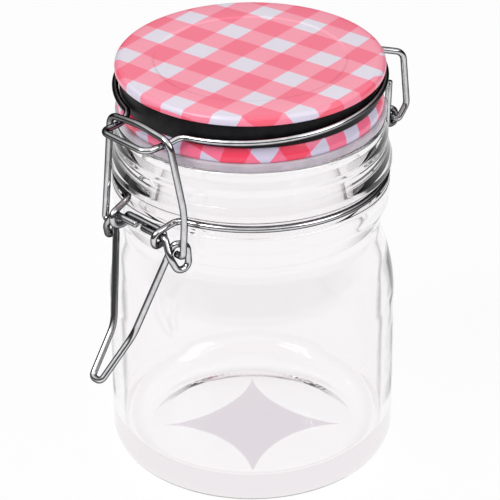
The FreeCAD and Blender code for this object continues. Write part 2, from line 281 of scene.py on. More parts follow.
class Nodes:
    """Small helpers for building a material's node tree."""

    def __init__(self, name: str) -> None:
        """Starts an empty material.

        Args:
            name: The material's name.
        """
        self.material = bpy.data.materials.new(name)
        self.material.use_nodes = True
        self.tree = self.material.node_tree
        self.tree.nodes.clear()
        self.output = self.add("ShaderNodeOutputMaterial")

    @classmethod
    def of_world(cls, world: bpy.types.World) -> "Nodes":
        """The same helper for a world's node tree, which starts empty."""
        nodes = cls.__new__(cls)
        world.use_nodes = True
        nodes.tree = world.node_tree
        nodes.tree.nodes.clear()
        nodes.output = nodes.add("ShaderNodeOutputWorld")
        return nodes

    def add(self, kind: str, **settings: object) -> bpy.types.Node:
        """Adds a node.

        Args:
            kind: The node's type.
            **settings: Properties to set on it.

        Returns:
            The node.
        """
        node = self.tree.nodes.new(kind)
        for key, value in settings.items():
            setattr(node, key, value)
        return node

    def link(self, source: Socket, target: Socket) -> None:
        """Joins two sockets."""
        self.tree.links.new(source, target)

    def finish(self, shader: Socket) -> None:
        """Joins the last shader to the tree's output."""
        self.link(shader, self.output.inputs["Surface"])

    def place(self, kind: str = "Object") -> Socket:
        """The coordinates of the point that is shaded."""
        return self.add("ShaderNodeTexCoord").outputs[kind]

    def split(self, vector: Socket) -> bpy.types.NodeOutputs:
        """A vector's X, Y and Z."""
        node = self.add("ShaderNodeSeparateXYZ")
        self.link(vector, node.inputs["Vector"])
        return node.outputs

    def math(self, operation: str, *values: Socket | float) -> Socket:
        """Adds a sum.

        Args:
            operation: What it works out.
            *values: The sockets or numbers that it works on, in order.

        Returns:
            The result's socket.
        """
        node = self.add("ShaderNodeMath", operation=operation)
        for socket, value in zip(node.inputs, values):
            if isinstance(value, Socket):
                self.link(value, socket)
            else:
                socket.default_value = value
        return node.outputs[0]

    def facing(self) -> Socket:
        """How the surface is turned: 0 seen face on and 1 seen edge on."""
        return self.add("ShaderNodeLayerWeight").outputs["Facing"]

    def principled(self, **values: object) -> bpy.types.Node:
        """Adds a Principled shader with some of its sockets set.

        Args:
            **values: Socket names with underscores for spaces, and their values.

        Returns:
            The shader node.
        """
        shader = self.add("ShaderNodeBsdfPrincipled")
        for key, value in values.items():
            shader.inputs[key.replace("_", " ")].default_value = value
        return shader

    def plain(self, kind: str, colour: Colour) -> bpy.types.Node:
        """Adds a shader that has little more than a colour."""
        shader = self.add(kind)
        shader.inputs["Color"].default_value = (*colour, 1.0)
        return shader

    def mix(self, share: Socket, *shaders: Socket) -> Socket:
        """Mixes two shaders.

        Args:
            share: 0 for the first and 1 for the second.
            *shaders: The two shaders' sockets.

        Returns:
            The mixed shader's socket.
        """
        node = self.add("ShaderNodeMixShader")
        for socket, source in zip(node.inputs, (share, *shaders)):
            self.link(source, socket)
        return node.outputs["Shader"]

    def blend(self, first: Socket, second: Socket, kind: str) -> bpy.types.Node:
        """Adds a mix of two colours, the first at a factor of 0 and the second at 1."""
        node = self.add("ShaderNodeMix", data_type="RGBA", blend_type=kind)
        self.link(first, node.inputs["A"])
        self.link(second, node.inputs["B"])
        return node

    def coat(self, shader: bpy.types.Node, **sockets: Socket) -> Material:
        """Finishes with a Principled shader.

        Args:
            shader: The shader.
            **sockets: Its socket names with underscores for spaces, and what they are joined to.

        Returns:
            The finished material.
        """
        for key, source in sockets.items():
            self.link(source, shader.inputs[key.replace("_", " ")])
        self.finish(shader.outputs["BSDF"])
        return self.material

    def noise(self, scale: float, detail: float = 3.0, roughness: float = 0.5) -> Socket:
        """Adds a noise texture on Object coordinates.

        Args:
            scale: How fine the noise is, per metre.
            detail: How many octaves it has.
            roughness: How strong the finer octaves are.

        Returns:
            The noise value's socket.
        """
        noise = self.add("ShaderNodeTexNoise")
        noise.inputs["Scale"].default_value = scale
        noise.inputs["Detail"].default_value = detail
        noise.inputs["Roughness"].default_value = roughness
        self.link(self.place(), noise.inputs["Vector"])
        return noise.outputs["Fac"]

    def ramp(
        self, source: Socket, stops: Sequence[tuple[float, Colour]]
    ) -> Socket:
        """Adds a colour ramp.

        Args:
            source: The value that runs along it.
            stops: Positions with their colours.

        Returns:
            The colour's socket.
        """
        ramp = self.add("ShaderNodeValToRGB")
        elements = ramp.color_ramp.elements
        elements.remove(elements[1])
        elements[0].position = stops[0][0]
        elements[0].color = (*stops[0][1], 1.0)
        for position, colour in stops[1:]:
            elements.new(position).color = (*colour, 1.0)
        self.link(source, ramp.inputs["Fac"])
        return ramp.outputs["Color"]

    def span(
        self,
        source: Socket,
        goal: Pair,
        origin: Pair = (0.0, 1.0),
        **settings: object,
    ) -> Socket:
        """Maps one range of a value onto another.

        Args:
            source: The value.
            goal: What the range's two ends become.
            origin: The range.
            **settings: Properties to set on the node.

        Returns:
            The mapped value's socket.
        """
        node = self.add("ShaderNodeMapRange", **settings)
        for key, value in zip(("From Min", "From Max", "To Min", "To Max"), (*origin, *goal)):
            node.inputs[key].default_value = value
        self.link(source, node.inputs["Value"])
        return node.outputs["Result"]

    def bump(self, height: Socket, strength: float, distance: float) -> Socket:
        """Adds a bump.

        Args:
            height: The height's socket.
            strength: How strong it is.
            distance: How high it is, in metres.

        Returns:
            The normal's socket.
        """
        node = self.add("ShaderNodeBump")
        node.inputs["Strength"].default_value = strength
        node.inputs["Distance"].default_value = distance
        self.link(height, node.inputs["Height"])
        return node.outputs["Normal"]


def srgb(red: int, green: int, blue: int) -> Colour:
    """A linear colour from 8-bit sRGB values."""
    linear = []
    for value in (red, green, blue):
        share = value / 255.0
        linear.append(share / 12.92 if share <= 0.04045 else ((share + 0.055) / 1.055) ** 2.4)
    return (linear[0], linear[1], linear[2])


class GlassPart(Enum):
    """The parts of the jar whose glass is finished differently, and their materials' names."""

    OUTSIDE = "clear_glass"
    INSIDE = "inner_glass"
    FOOT = "foot_glass"


@dataclass(frozen=True)
class ClearGlass:
    """Clear pressed glass with faint waves in its surface.

    The inside of the wall has painted shade, dark where it is seen edge on. The foot has a patch of painted
    shade on its underside, standing in for bent light, and what it would mirror is replaced by a painted,
    even pale glow.
    """

    part: GlassPart
    tint: Colour = (0.978, 0.966, 0.973)
    shadow: Colour = (0.93, 0.94, 0.94)
    # Painted shade: these colours and stops darken the inside of the wall where it is seen edge on.
    side: Colour = (0.945, 0.915, 0.932)
    side_from: float = 0.45
    edge: Colour = (0.10, 0.09, 0.10)
    edge_from: float = 0.74
    edge_full: float = 0.82
    ior: float = 1.5
    wave_noise: Triple = (45.0, 2.0, 0.4)
    wave_strength: float = 0.35
    wave_height: float = 0.35 * MM
    # Painted shade: this colour and the five sizes after it make a four-pointed patch on the foot's
    # underside, standing in for bent light.
    patch_shade: Colour = (0.56, 0.50, 0.56)
    base_edge: Pair = (0.96, 1.0)
    base_reach: float = 32.0 * MM
    base_turn: float = 46.0
    base_power: float = 0.62
    base_top: float = 5.0 * MM
    # A painted glow: the even pale light that replaces what the foot would mirror.
    foot_painted_glow: Colour = (0.85, 0.82, 0.84)

    def painted_edge_shade(self, nodes: Nodes) -> Socket:
        """The inside's colour, with painted shade: dark where the wall is seen edge on."""
        stops = [(self.side_from, self.tint), (self.edge_from, self.side), (self.edge_full, self.edge)]
        return nodes.ramp(nodes.facing(), stops)

    def painted_patch_colour(self, nodes: Nodes) -> Socket:
        """The foot's colour, with painted shade in a four-pointed patch in the middle of the underside."""
        turn = nodes.add("ShaderNodeMapping", vector_type="TEXTURE")
        turn.inputs["Rotation"].default_value = (0.0, 0.0, math.radians(self.base_turn))
        turn.inputs["Scale"].default_value = (self.base_reach, self.base_reach, self.base_reach)
        nodes.link(nodes.place(), turn.inputs["Vector"])
        split = nodes.split(turn.outputs["Vector"])
        powers = [
            nodes.math("POWER", nodes.math("ABSOLUTE", split[axis]), self.base_power)
            for axis in ("X", "Y")
        ]
        above = nodes.math("GREATER_THAN", split["Z"], self.base_top / self.base_reach)
        total = nodes.math("ADD", nodes.math("ADD", *powers), above)
        return nodes.ramp(total, list(zip(self.base_edge, (self.patch_shade, self.tint))))

    def build(self) -> Material:
        """Makes the material.

        Returns:
            The material, which lets lamps shine through to what is behind it.
        """
        nodes = Nodes(self.part.value)
        shader = nodes.principled(Roughness=0.0, IOR=self.ior, Transmission_Weight=1.0)
        shader.inputs["Base Color"].default_value = (*self.tint, 1.0)
        if self.part is GlassPart.INSIDE:
            # Painted shade: the inside's colour and specular tint darken where the wall is seen edge on.
            colour = self.painted_edge_shade(nodes)
            nodes.link(colour, shader.inputs["Base Color"])
            nodes.link(colour, shader.inputs["Specular Tint"])
        if self.part is GlassPart.FOOT:
            # Painted shade: a darker four-pointed patch on the foot's underside, standing in for bent light.
            nodes.link(self.painted_patch_colour(nodes), shader.inputs["Base Color"])
        waves = nodes.bump(nodes.noise(*self.wave_noise), self.wave_strength, self.wave_height)
        nodes.link(waves, shader.inputs["Normal"])
        clear = nodes.plain("ShaderNodeBsdfTransparent", self.shadow)
        path = nodes.add("ShaderNodeLightPath")
        glass = nodes.mix(path.outputs["Is Shadow Ray"], shader.outputs["BSDF"], clear.outputs["BSDF"])
        if self.part is GlassPart.FOOT:
            # Painted glow: reflection rays in the foot see an even pale emission instead of what they would
            # mirror.
            painted_glow = nodes.plain("ShaderNodeEmission", self.foot_painted_glow)
            glass = nodes.mix(path.outputs["Is Reflection Ray"], glass, painted_glow.outputs["Emission"])
        nodes.finish(glass)
        return nodes.material


@dataclass(frozen=True)
class BrightWire:
    """Bright drawn steel wire: faint draw lines, and painted shade that darkens its colour towards its
    sides.
    """

    steel: tuple[Colour, Colour] = ((0.64, 0.64, 0.66), (0.80, 0.80, 0.82))
    steel_edge: Pair = (0.35, 0.60)
    mirror: Colour = (0.35, 0.35, 0.36)
    # Painted shade: the colour is multiplied down to these shares as the wire is seen more edge on.
    sides: tuple[Pair, ...] = ((0.0, 1.0), (0.20, 0.85), (0.42, 0.22), (0.75, 0.07))
    roughness: Pair = (0.18, 0.08)
    spots: Triple = (320.0, 4.0, 0.6)
    draw_lines: Triple = (2600.0, 3.0, 0.6)
    draw_strength: float = 0.12
    draw_height: float = 0.04 * MM

    def build(self) -> Material:
        """Makes the material.

        Returns:
            The material.
        """
        nodes = Nodes("bright_wire")
        shader = nodes.principled(Metallic=1.0, Specular_Tint=(*self.mirror, 1.0))
        spots = nodes.noise(*self.spots)
        steel = nodes.ramp(spots, list(zip(self.steel_edge, self.steel)))
        # Painted shade: darker towards the wire's sides, by how edge on it is seen.
        shade = nodes.ramp(nodes.facing(), [(turned, (share,) * 3) for turned, share in self.sides])
        colour = nodes.blend(steel, shade, "MULTIPLY")
        colour.inputs["Factor"].default_value = 1.0
        rough = nodes.span(spots, self.roughness)
        lines = nodes.bump(nodes.noise(*self.draw_lines), self.draw_strength, self.draw_height)
        return nodes.coat(shader, Base_Color=colour.outputs["Result"], Roughness=rough, Normal=lines)


@dataclass(frozen=True)
class GinghamPrint:
    """Glossy gingham print on the lid: stripes both ways, darker where they cross.

    Each set of colours is given for neither stripe, one stripe and both. The rolled set is painted shade: a
    deeper copy of the print for the rolled edge and the lower band.
    """

    period: float = 18.0 * MM
    stripe: float = 0.53
    softness: float = 0.008
    turn: float = 9.2
    white_square: Pair = (2.4 * MM, -4.5 * MM)
    flat: tuple[Colour, ...] = (srgb(232, 226, 238), srgb(255, 160, 180), srgb(253, 122, 146))
    # Painted shade: a deeper copy of the print colours, blended in across the roll towards the rolled edge
    # and the lower band.
    rolled_shaded: tuple[Colour, ...] = (srgb(214, 206, 230), srgb(252, 112, 148), srgb(252, 62, 96))
    roll: Pair = (42.5 * MM, 47.5 * MM)
    coat: float = 0.4
    coat_blur: float = 0.12
    roughness: Pair = (0.30, 0.42)
    grain: Triple = (900.0, 3.0, 0.6)
    ripple: Triple = (60.0, 2.0, 0.5)
    ripple_strength: float = 0.25
    ripple_height: float = 0.6 * MM

    def stripe_mask(self, nodes: Nodes, along: Socket) -> Socket:
        """One direction's stripes.

        Args:
            nodes: The material's nodes.
            along: The coordinate across the stripes, in metres.

        Returns:
            1 on a stripe and 0 beside it.
        """
        wrapped = nodes.math("FLOORED_MODULO", nodes.math("DIVIDE", along, self.period), 1.0)
        away = nodes.math("ABSOLUTE", nodes.math("SUBTRACT", wrapped, 0.5))
        edge = self.stripe / 2.0
        return nodes.span(away, (1.0, 0.0), (edge - self.softness, edge + self.softness))

    def build(self) -> Material:
        """Makes the material, which reads the piece's flat print layout.

        Returns:
            The material.
        """
        nodes = Nodes("gingham_print")
        layout = nodes.add("ShaderNodeUVMap", uv_map="print").outputs["UV"]
        mapping = nodes.add("ShaderNodeMapping", vector_type="TEXTURE")
        mapping.inputs["Rotation"].default_value = (0.0, 0.0, math.radians(self.turn))
        mapping.inputs["Location"].default_value = (*self.white_square, 0.0)
        nodes.link(layout, mapping.inputs["Vector"])
        split = nodes.split(mapping.outputs["Vector"])
        masks = [self.stripe_mask(nodes, split[axis]) for axis in ("X", "Y")]
        depth = nodes.math("MULTIPLY", nodes.math("ADD", *masks), 0.5)
        flat, rolled_shaded = (
            nodes.ramp(depth, list(zip((0.0, 0.5, 1.0), colours))) for colours in (self.flat, self.rolled_shaded)
        )
        out = nodes.add("ShaderNodeVectorMath", operation="LENGTH")
        nodes.link(layout, out.inputs[0])
        # Painted shade: the print blends to its deeper copy towards the rolled edge and the lower band.
        colour = nodes.blend(flat, rolled_shaded, "MIX")
        nodes.link(nodes.span(out.outputs["Value"], (0.0, 1.0), self.roll), colour.inputs["Factor"])
        shader = nodes.principled(Coat_Weight=self.coat, Coat_Roughness=self.coat_blur)
        rough = nodes.span(nodes.noise(*self.grain), self.roughness)
        ripple = nodes.bump(nodes.noise(*self.ripple), self.ripple_strength, self.ripple_height)
        return nodes.coat(shader, Base_Color=colour.outputs["Result"], Roughness=rough, Normal=ripple)


@dataclass(frozen=True)
class Rubber:
    """Rubber that clouds from one colour to another, with a fine grain."""

    name: str
    sockets: tuple[tuple[str, float], ...]
    colours: tuple[Colour, Colour]
    roughness: Pair
    clouds: Triple
    grain: Triple
    grain_height: float
    grain_strength: float = 0.1
    colour_edge: Pair = (0.35, 0.65)

    @classmethod
    def black(cls) -> "Rubber":
        """The satin black band."""
        satin = (("Specular_IOR_Level", 0.12),)
        colours = ((0.006, 0.006, 0.007), (0.014, 0.013, 0.015))
        spots, grain = (240.0, 4.0, 0.6), (1800.0, 2.0, 0.5)
        return cls("black_band", satin, colours, (0.35, 0.5), spots, grain, 0.05 * MM)

    @classmethod
    def seal(cls) -> "Rubber":
        """The milky translucent seal, whose grain is its clouds."""
        milky = (("Subsurface_Weight", 0.4), ("Subsurface_Scale", 2.0 * MM), ("IOR", 1.4))
        colours, clouds = (srgb(186, 176, 188), srgb(202, 193, 203)), (160.0, 3.0, 0.5)
        return cls("seal_rubber", milky, colours, (0.30, 0.45), clouds, clouds, 0.2 * MM)

    def build(self) -> Material:
        """Makes the material.

        Returns:
            The material.
        """
        nodes = Nodes(self.name)
        shader = nodes.principled(**dict(self.sockets))
        clouds = nodes.noise(*self.clouds)
        colour = nodes.ramp(clouds, list(zip(self.colour_edge, self.colours)))
        rough = nodes.span(clouds, self.roughness)
        grain = nodes.bump(nodes.noise(*self.grain), self.grain_strength, self.grain_height)
        return nodes.coat(shader, Base_Color=colour, Roughness=rough, Normal=grain)


def dress(piece: Piece, *materials: Material) -> None:
    """Gives a piece its materials, the first of them on every face."""
    piece.data.materials.clear()
    for material in materials:
        piece.data.materials.append(material)


def seat(piece: Piece, body: Body, slot: str, *nodes: str) -> None:
    """Fixes a piece to its body and hides the CAD nodes that it stands for.

    Args:
        piece: The piece.
        body: The body that it rides on.
        slot: The name of a material slot; not used.
        *nodes: The CAD nodes that it replaces.
    """
    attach(piece, body.value)
    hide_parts(*nodes)
    log.info("%s: %d faces on %s", piece.name, len(piece.data.polygons), body.value)


# ------------------------------------------------------------------ sub-assemblies


@dataclass
class GlassJar:
    """The pressed glass jar: foot, body, shoulder, neck rings and rim, and the hollow inside.

    Sizes in millimetres. A drop is counted down from the rim, an out from the waist's radius.
    """

    body_radius: float = field(default_factory=lambda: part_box("glass_jar")[1][0] / MM)
    rim_top: float = field(default_factory=lambda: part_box("glass_jar")[1][2] / MM)
    body_wall: float = 3.5
    foot_corner: float = 9.6
    foot_ring_width: float = 14.5
    foot_ring_slope: Pair = (2.5, 0.5)
    push_up: float = 2.6
    push_up_radius: float = 250.0
    floor_thickness: float = 5.0
    shoulder_drop: float = 58.6
    shoulder_radius: float = 56.0
    waist_radius: float = 42.4
    waist_drop: float = 39.65
    waist_bend: float = 14.0
    lip_out: float = 3.2
    lip_drop: Pair = (31.4, 27.0)
    groove_out: float = 0.8
    groove_drop: Pair = (22.1, 17.4)
    bead_out: float = 3.9
    bead_drop: float = 15.5
    finish_out: float = 2.1
    rim_rounding: float = 1.7
    mouth_wall: float = 5.0
    mouth_drop: float = 28.8
    throat: Pair = (4.0, 38.3)
    hollow_drop: float = 57.0
    floor_corner: float = 9.0
    foot_glass: float = 14.0
    tick_band: Pair = (34.5, 43.5)
    tick_ceiling: float = 1.2
    tick_height: float = 0.3

    def outside(self) -> list[Corner]:
        """The outline from under the floor up to the rim.

        Returns:
            The corners.
        """
        top, foot = self.rim_top, self.body_radius - self.foot_ring_width
        slope_width, slope_height = self.foot_ring_slope
        lip_low, lip_full = (top - drop for drop in self.lip_drop)
        groove_low, groove_high = (top - drop for drop in self.groove_drop)
        bead = top - self.bead_drop
        lip, groove = self.waist_radius + self.lip_out, self.waist_radius + self.groove_out
        ring, finish = self.waist_radius + self.bead_out, self.waist_radius + self.finish_out
        return [
            rz(0.0, self.push_up),
            rz(foot / 2.0, self.push_up, self.push_up_radius, 12),
            rz(foot, slope_height, 1.5, 3),
            rz(foot + slope_width, 0.0, 1.5, 3),
            rz(self.body_radius, 0.0, self.foot_corner, 24),
            rz(self.body_radius, top - self.shoulder_drop, self.shoulder_radius, 20),
            rz(self.waist_radius, top - self.waist_drop, self.waist_bend, 10),
            rz(self.waist_radius, lip_low - 4.2, 2.0, 8),
            rz(lip, lip_full - 2.2, 3.0, 8),
            rz(lip, groove_low - 0.4, 1.2, 6),
            rz(groove, groove_low, 0.5, 4),
            rz(groove, groove_high, 0.5, 4),
            rz(ring, groove_high + 0.2, 1.4, 8),
            rz(ring - 0.2, bead + 1.2, 3.0, 8),
            rz(finish - 0.1, bead + 7.3, 3.0, 8),
            rz(finish + 0.4, top - 6.0, 2.0, 8),
            rz(finish - 0.5, top - 3.0, 2.0, 6),
            rz(finish - 0.7, top, self.rim_rounding, 8),
        ]

    def hollow(self) -> list[Corner]:
        """The outline from the mouth down to the middle of the floor.

        Returns:
            The corners.
        """
        inner, top = self.body_radius - self.body_wall, self.rim_top
        mouth = self.waist_radius + self.finish_out - self.mouth_wall
        floor = self.push_up + self.floor_thickness
        throat_in, throat_drop = self.throat
        return [
            rz(mouth, top, 1.2, 6),
            rz(mouth, top - self.mouth_drop, 18.0, 8),
            rz(self.waist_radius - throat_in, top - throat_drop, 16.0, 8),
            rz(inner, top - self.hollow_drop, 60.0, 16),
            rz(inner, floor - 1.0, self.floor_corner, 20),
            rz(0.0, floor),
        ]

    def press_ticks(self, jar: Piece) -> None:
        """Presses fine radial ticks into the ring that the jar stands on.

        Args:
            jar: The turned jar.
        """
        Bench.clear()
        bpy.context.view_layer.objects.active = jar
        low, high = self.tick_band
        step = math.tau / Lathe.STEPS
        for vertex in jar.data.vertices:
            x, y, z = vertex.co / MM
            turn = round(math.atan2(y, x) / step)
            on_ring = low < math.hypot(x, y) < high and z < self.tick_ceiling
            vertex.select = on_ring and turn % 2 == 0
        for group in (jar.data.edges, jar.data.polygons):
            group.foreach_set("select", [False] * len(group))
        bpy.ops.object.mode_set(mode="EDIT")
        bpy.ops.transform.translate(value=(0.0, 0.0, self.tick_height * MM))
        bpy.ops.object.mode_set(mode="OBJECT")

    def part_of(self, face: bpy.types.MeshPolygon) -> GlassPart:
        """Which part of the glass a face belongs to."""
        if face.center.z < self.foot_glass * MM:
            return GlassPart.FOOT
        outward = face.center.x * face.normal.x + face.center.y * face.normal.y
        return GlassPart.INSIDE if outward < 0.0 and face.center.z < self.inside_top() else GlassPart.OUTSIDE

    def inside_top(self) -> float:
        """The height in metres that the thin wall ends at."""
        return (self.rim_top - self.waist_drop) * MM

    def build(self) -> Piece:
        """Turns the jar and dresses it in glass.

        Returns:
            The jar.
        """
        jar = Lathe.turn("jar_glass", self.outside() + self.hollow(), 60.0)
        self.press_ticks(jar)
        parts = list(GlassPart)
        dress(jar, *(ClearGlass(part).build() for part in parts))
        for face in jar.data.polygons:
            face.material_index = parts.index(self.part_of(face))
        seat(jar, Body.JAR, "clear_glass", "glass_jar")
        return jar


@dataclass
class WireRing:
    """A round of wire on a tilted circle about the jar's axis, in millimetres."""

    radius: float
    height: float
    tilt: float

    def point(self, angle: float) -> Vector:
        """The ring's centre line at an angle in degrees from +X."""
        turn, tilt = math.radians(angle), math.radians(self.tilt)
        y = self.radius * math.sin(turn)
        return mm(self.radius * math.cos(turn), y * math.cos(tilt), self.height + y * math.sin(tilt))

    def heading(self, angle: float) -> Vector:
        """The direction along the ring towards smaller angles, one metre long."""
        turn, tilt = math.radians(angle), math.radians(self.tilt)
        level = -math.cos(turn)
        return Vector((math.sin(turn), level * math.cos(tilt), level * math.sin(tilt)))

    def angle_at(self, x: float, side: Side) -> float:
        """The ring's angle in degrees at x on the front or the back."""
        return side.value * math.degrees(math.acos(x / self.radius))

    def axis(self) -> Vector:
        """The ring's own axis."""
        tilt = math.radians(self.tilt)
        return Vector((0.0, -math.sin(tilt), math.cos(tilt)))

    def centre(self) -> Vector:
        """The ring's centre."""
        return mm(0.0, 0.0, self.height)


@dataclass
class WireWork:
    """Neck wire, lid wire, lever and bail, bent from bright steel wire. Sizes in millimetres."""

    ring_wire: float = 1.1
    latch_wire: float = 1.15
    neck_ring: WireRing = field(default_factory=lambda: WireRing(44.5, 104.2, -0.5))
    lid_ring: WireRing = field(default_factory=lambda: WireRing(43.6, 136.2, 2.9))
    lever_pivot: Pair = (49.4, 100.5)
    bail_pivot: Pair = (47.75, 95.7)
    eye_x: float = 9.0
    lip_radius: float = 45.6
    pin_end: float = 1.3
    loop_x: float = 16.6
    loop_height: float = 8.4
    bail_foot_x: float = 18.4
    bail_top_x: float = 13.6
    bail_bar: Pair = (48.4, 135.25)
    bail_arch: float = 1.4
    tab_half_width: float = 10.2
    tab_tip: Pair = (55.4, 132.65)
    tab_root_z: float = 132.55
    lever_elbow: Triple = (4.7, 57.5, 65.6)
    lever_tip: Triple = (2.1, 69.8, 52.2)
    hinge_pivot: Pair = (48.3, 111.0)
    hinge_coil: float = 2.35
    hinge_coil_x: Pair = (14.8, 17.8)
    hinge_leg_x: float = 20.4
    hinge_tail_top: float = 125.0
    hinge_leg_rise: Pair = (4.6, 24.1)
    neck_joins: Pair = (17.4, 16.0)

    @staticmethod
    def front(x: float, depth: float, z: float, bend: float = 0.0) -> Corner:
        """A corner in front of the jar's axis, in millimetres."""
        return Corner(mm(x, -depth, z), bend * MM, 8)

    @staticmethod
    def back(x: float, depth: float, z: float, bend: float = 0.0) -> Corner:
        """A corner behind the jar's axis, in millimetres."""
        return Corner(mm(x, depth, z), bend * MM)

    def neck_wire(self) -> Piece:
        """The neck wire: tails and coils of the hinge, the ring, and the two front eyes.

        Returns:
            The wire.
        """
        depth, height = self.hinge_pivot
        near, far = self.hinge_coil_x
        reach = self.hinge_coil
        ring = self.neck_ring
        rear, nose = (ring.angle_at(x, side) for x, side in zip(self.neck_joins, (Side.BACK, Side.FRONT)))
        rear_point, nose_point = ring.point(rear), ring.point(nose)
        coil = [
            self.back(far, depth - 1.8, self.hinge_tail_top),
            self.back(far, depth - reach - 0.3, height - reach, 2.2),
            self.back(far - 0.4, depth + reach, height - reach, 2.2),
            self.back(far - 1.4, depth + reach, height + reach, 2.2),
            self.back(near + 0.4, depth - reach, height + reach, 2.2),
            self.back(near, depth - reach, height - 4.0, 2.2),
            Corner(rear_point - ring.heading(rear) * 4.6 * MM, 2.0 * MM),
            Corner(rear_point),
        ]
        lever_depth, lever_height = self.lever_pivot
        top = lever_height + self.latch_wire + self.ring_wire + 0.05
        lip = self.lip_radius + self.ring_wire + 0.2
        eye = [
            Corner(nose_point + ring.heading(nose) * 5.2 * MM, 4.0 * MM),
            self.front(self.eye_x + 0.9, lever_depth + 2.9, top - 0.6, 2.4),
            self.front(self.eye_x + 0.6, lever_depth + 2.9, lever_height - 3.1, 2.4),
            self.front(self.eye_x, lip, lever_height - 3.1, 1.9),
            self.front(self.eye_x - 0.5, lip, lever_height + 0.3, 1.4),
        ]
        wire = WireBender("wire_neck", coil[0].place, coil[1].place, self.ring_wire * MM)
        wire.run(coil[1:])
        wire.ring(ring, rear, nose)
        wire.run(eye + mirrored(eye) + mirrored([Corner(nose_point)]))
        wire.ring(ring, 180.0 - nose, 180.0 - rear)
        wire.run(mirrored(coil)[1:])
        return wire.finish()

    def lid_wire(self) -> Piece:
        """The lid wire: hinge pins and legs, the ring in the lid's groove, and the front tab.

        Returns:
            The wire.
        """
        depth, height = self.hinge_pivot
        ring, x = self.lid_ring, self.hinge_leg_x
        knee, shoulder = self.hinge_leg_rise
        rear = ring.angle_at(x - 0.6, Side.BACK)
        nose = ring.angle_at(self.tab_half_width + 5.2, Side.FRONT)
        rear_point, nose_point = ring.point(rear), ring.point(nose)
        leg = [
            self.back(self.hinge_coil_x[0] - 2.4, depth, height),
            self.back(x, depth, height, 1.3),
            self.back(x, depth + 4.0, height + knee, 3.4),
            self.back(x, depth + 1.8, height + shoulder, 4.0),
            Corner(rear_point - ring.heading(rear) * 3.6 * MM, 3.0 * MM),
            Corner(rear_point),
        ]
        tab = [
            Corner(nose_point + ring.heading(nose) * 3.4 * MM, 4.5 * MM),
            self.front(self.tab_half_width + 0.3, self.bail_bar[0] - 2.0, self.tab_root_z - 0.1, 9.0),
            self.front(self.tab_half_width, *self.tab_tip, 3.2),
        ]
        wire = WireBender("wire_lid", leg[0].place, leg[1].place, self.ring_wire * MM)
        wire.run(leg[1:])
        wire.ring(ring, rear, nose)
        wire.run(tab + mirrored(tab) + mirrored([Corner(nose_point)]))
        wire.ring(ring, 180.0 - nose, 180.0 - rear)
        wire.run(mirrored(leg)[1:])
        return wire.finish()

    def lever(self) -> Piece:
        """The lever: pins, a loop round each end of the bail, and the V handle.

        Returns:
            The wire.
        """
        depth, height = self.lever_pivot
        bail_depth, bail_height = self.bail_pivot
        front, back = bail_depth + 2 * self.latch_wire + 0.5, depth - 5.1
        top = bail_height + 2 * self.latch_wire + 0.6
        low = top - self.loop_height
        x = self.loop_x
        half = [
            self.front(self.pin_end, depth, height),
            self.front(self.eye_x + 3.0, depth, height, 1.6),
            self.front(x - 1.6, front, bail_height - 0.1, 6.0),
            self.front(x - 0.1, depth - 1.0, low, 2.3),
            self.front(x + 0.6, back, low + 0.4, 2.4),
            self.front(x, back, top + 0.1, 2.4),
            self.front(x - 2.4, bail_depth + 0.15, top + 0.3, 1.9),
            self.front(x - 4.6, depth - 0.5, low + 3.0, 6.0),
            self.front(*self.lever_elbow, 14.0),
            self.front(*self.lever_tip, 1.9),
        ]
        wire = WireBender("wire_lever", half[0].place, half[1].place, self.latch_wire * MM)
        wire.run(half[1:] + mirrored(half))
        return wire.finish()

    def bail(self) -> Piece:
        """The bail: its bar over the tab, and a pin in each of the lever's loops.

        Returns:
            The wire.
        """
        depth, height = self.bail_pivot
        bar_depth, bar_height = self.bail_bar
        corner_height = bar_height - self.bail_arch * (1.0 - self.tab_half_width / self.bail_top_x)
        half = [
            self.front(self.loop_x - 1.6, depth, height),
            self.front(self.bail_foot_x, depth, height, 1.3),
            self.front(self.bail_foot_x - 0.3, depth - 1.2, height + 14.3, 40.0),
            self.front(self.bail_top_x, bar_depth, corner_height, 4.2),
        ]
        crown = self.front(0.0, bar_depth, corner_height + self.bail_arch, 40.0)
        wire = WireBender("wire_bail", half[0].place, half[1].place, self.latch_wire * MM)
        wire.run(half[1:] + [crown] + mirrored(half))
        return wire.finish()

    def build(self) -> None:
        """Bends all four wires, dresses them and seats them on their bodies."""
        steel = BrightWire().build()
        plan = [
            (self.neck_wire, Body.JAR, "neck_wire"),
            (self.lid_wire, Body.LID, "lid_wire"),
            (self.lever, Body.LEVER, "lever"),
            (self.bail, Body.BAIL, "bail"),
        ]
        for bend, body, node in plan:
            wire = bend()
            dress(wire, steel)
            seat(wire, body, "wire_steel", node)


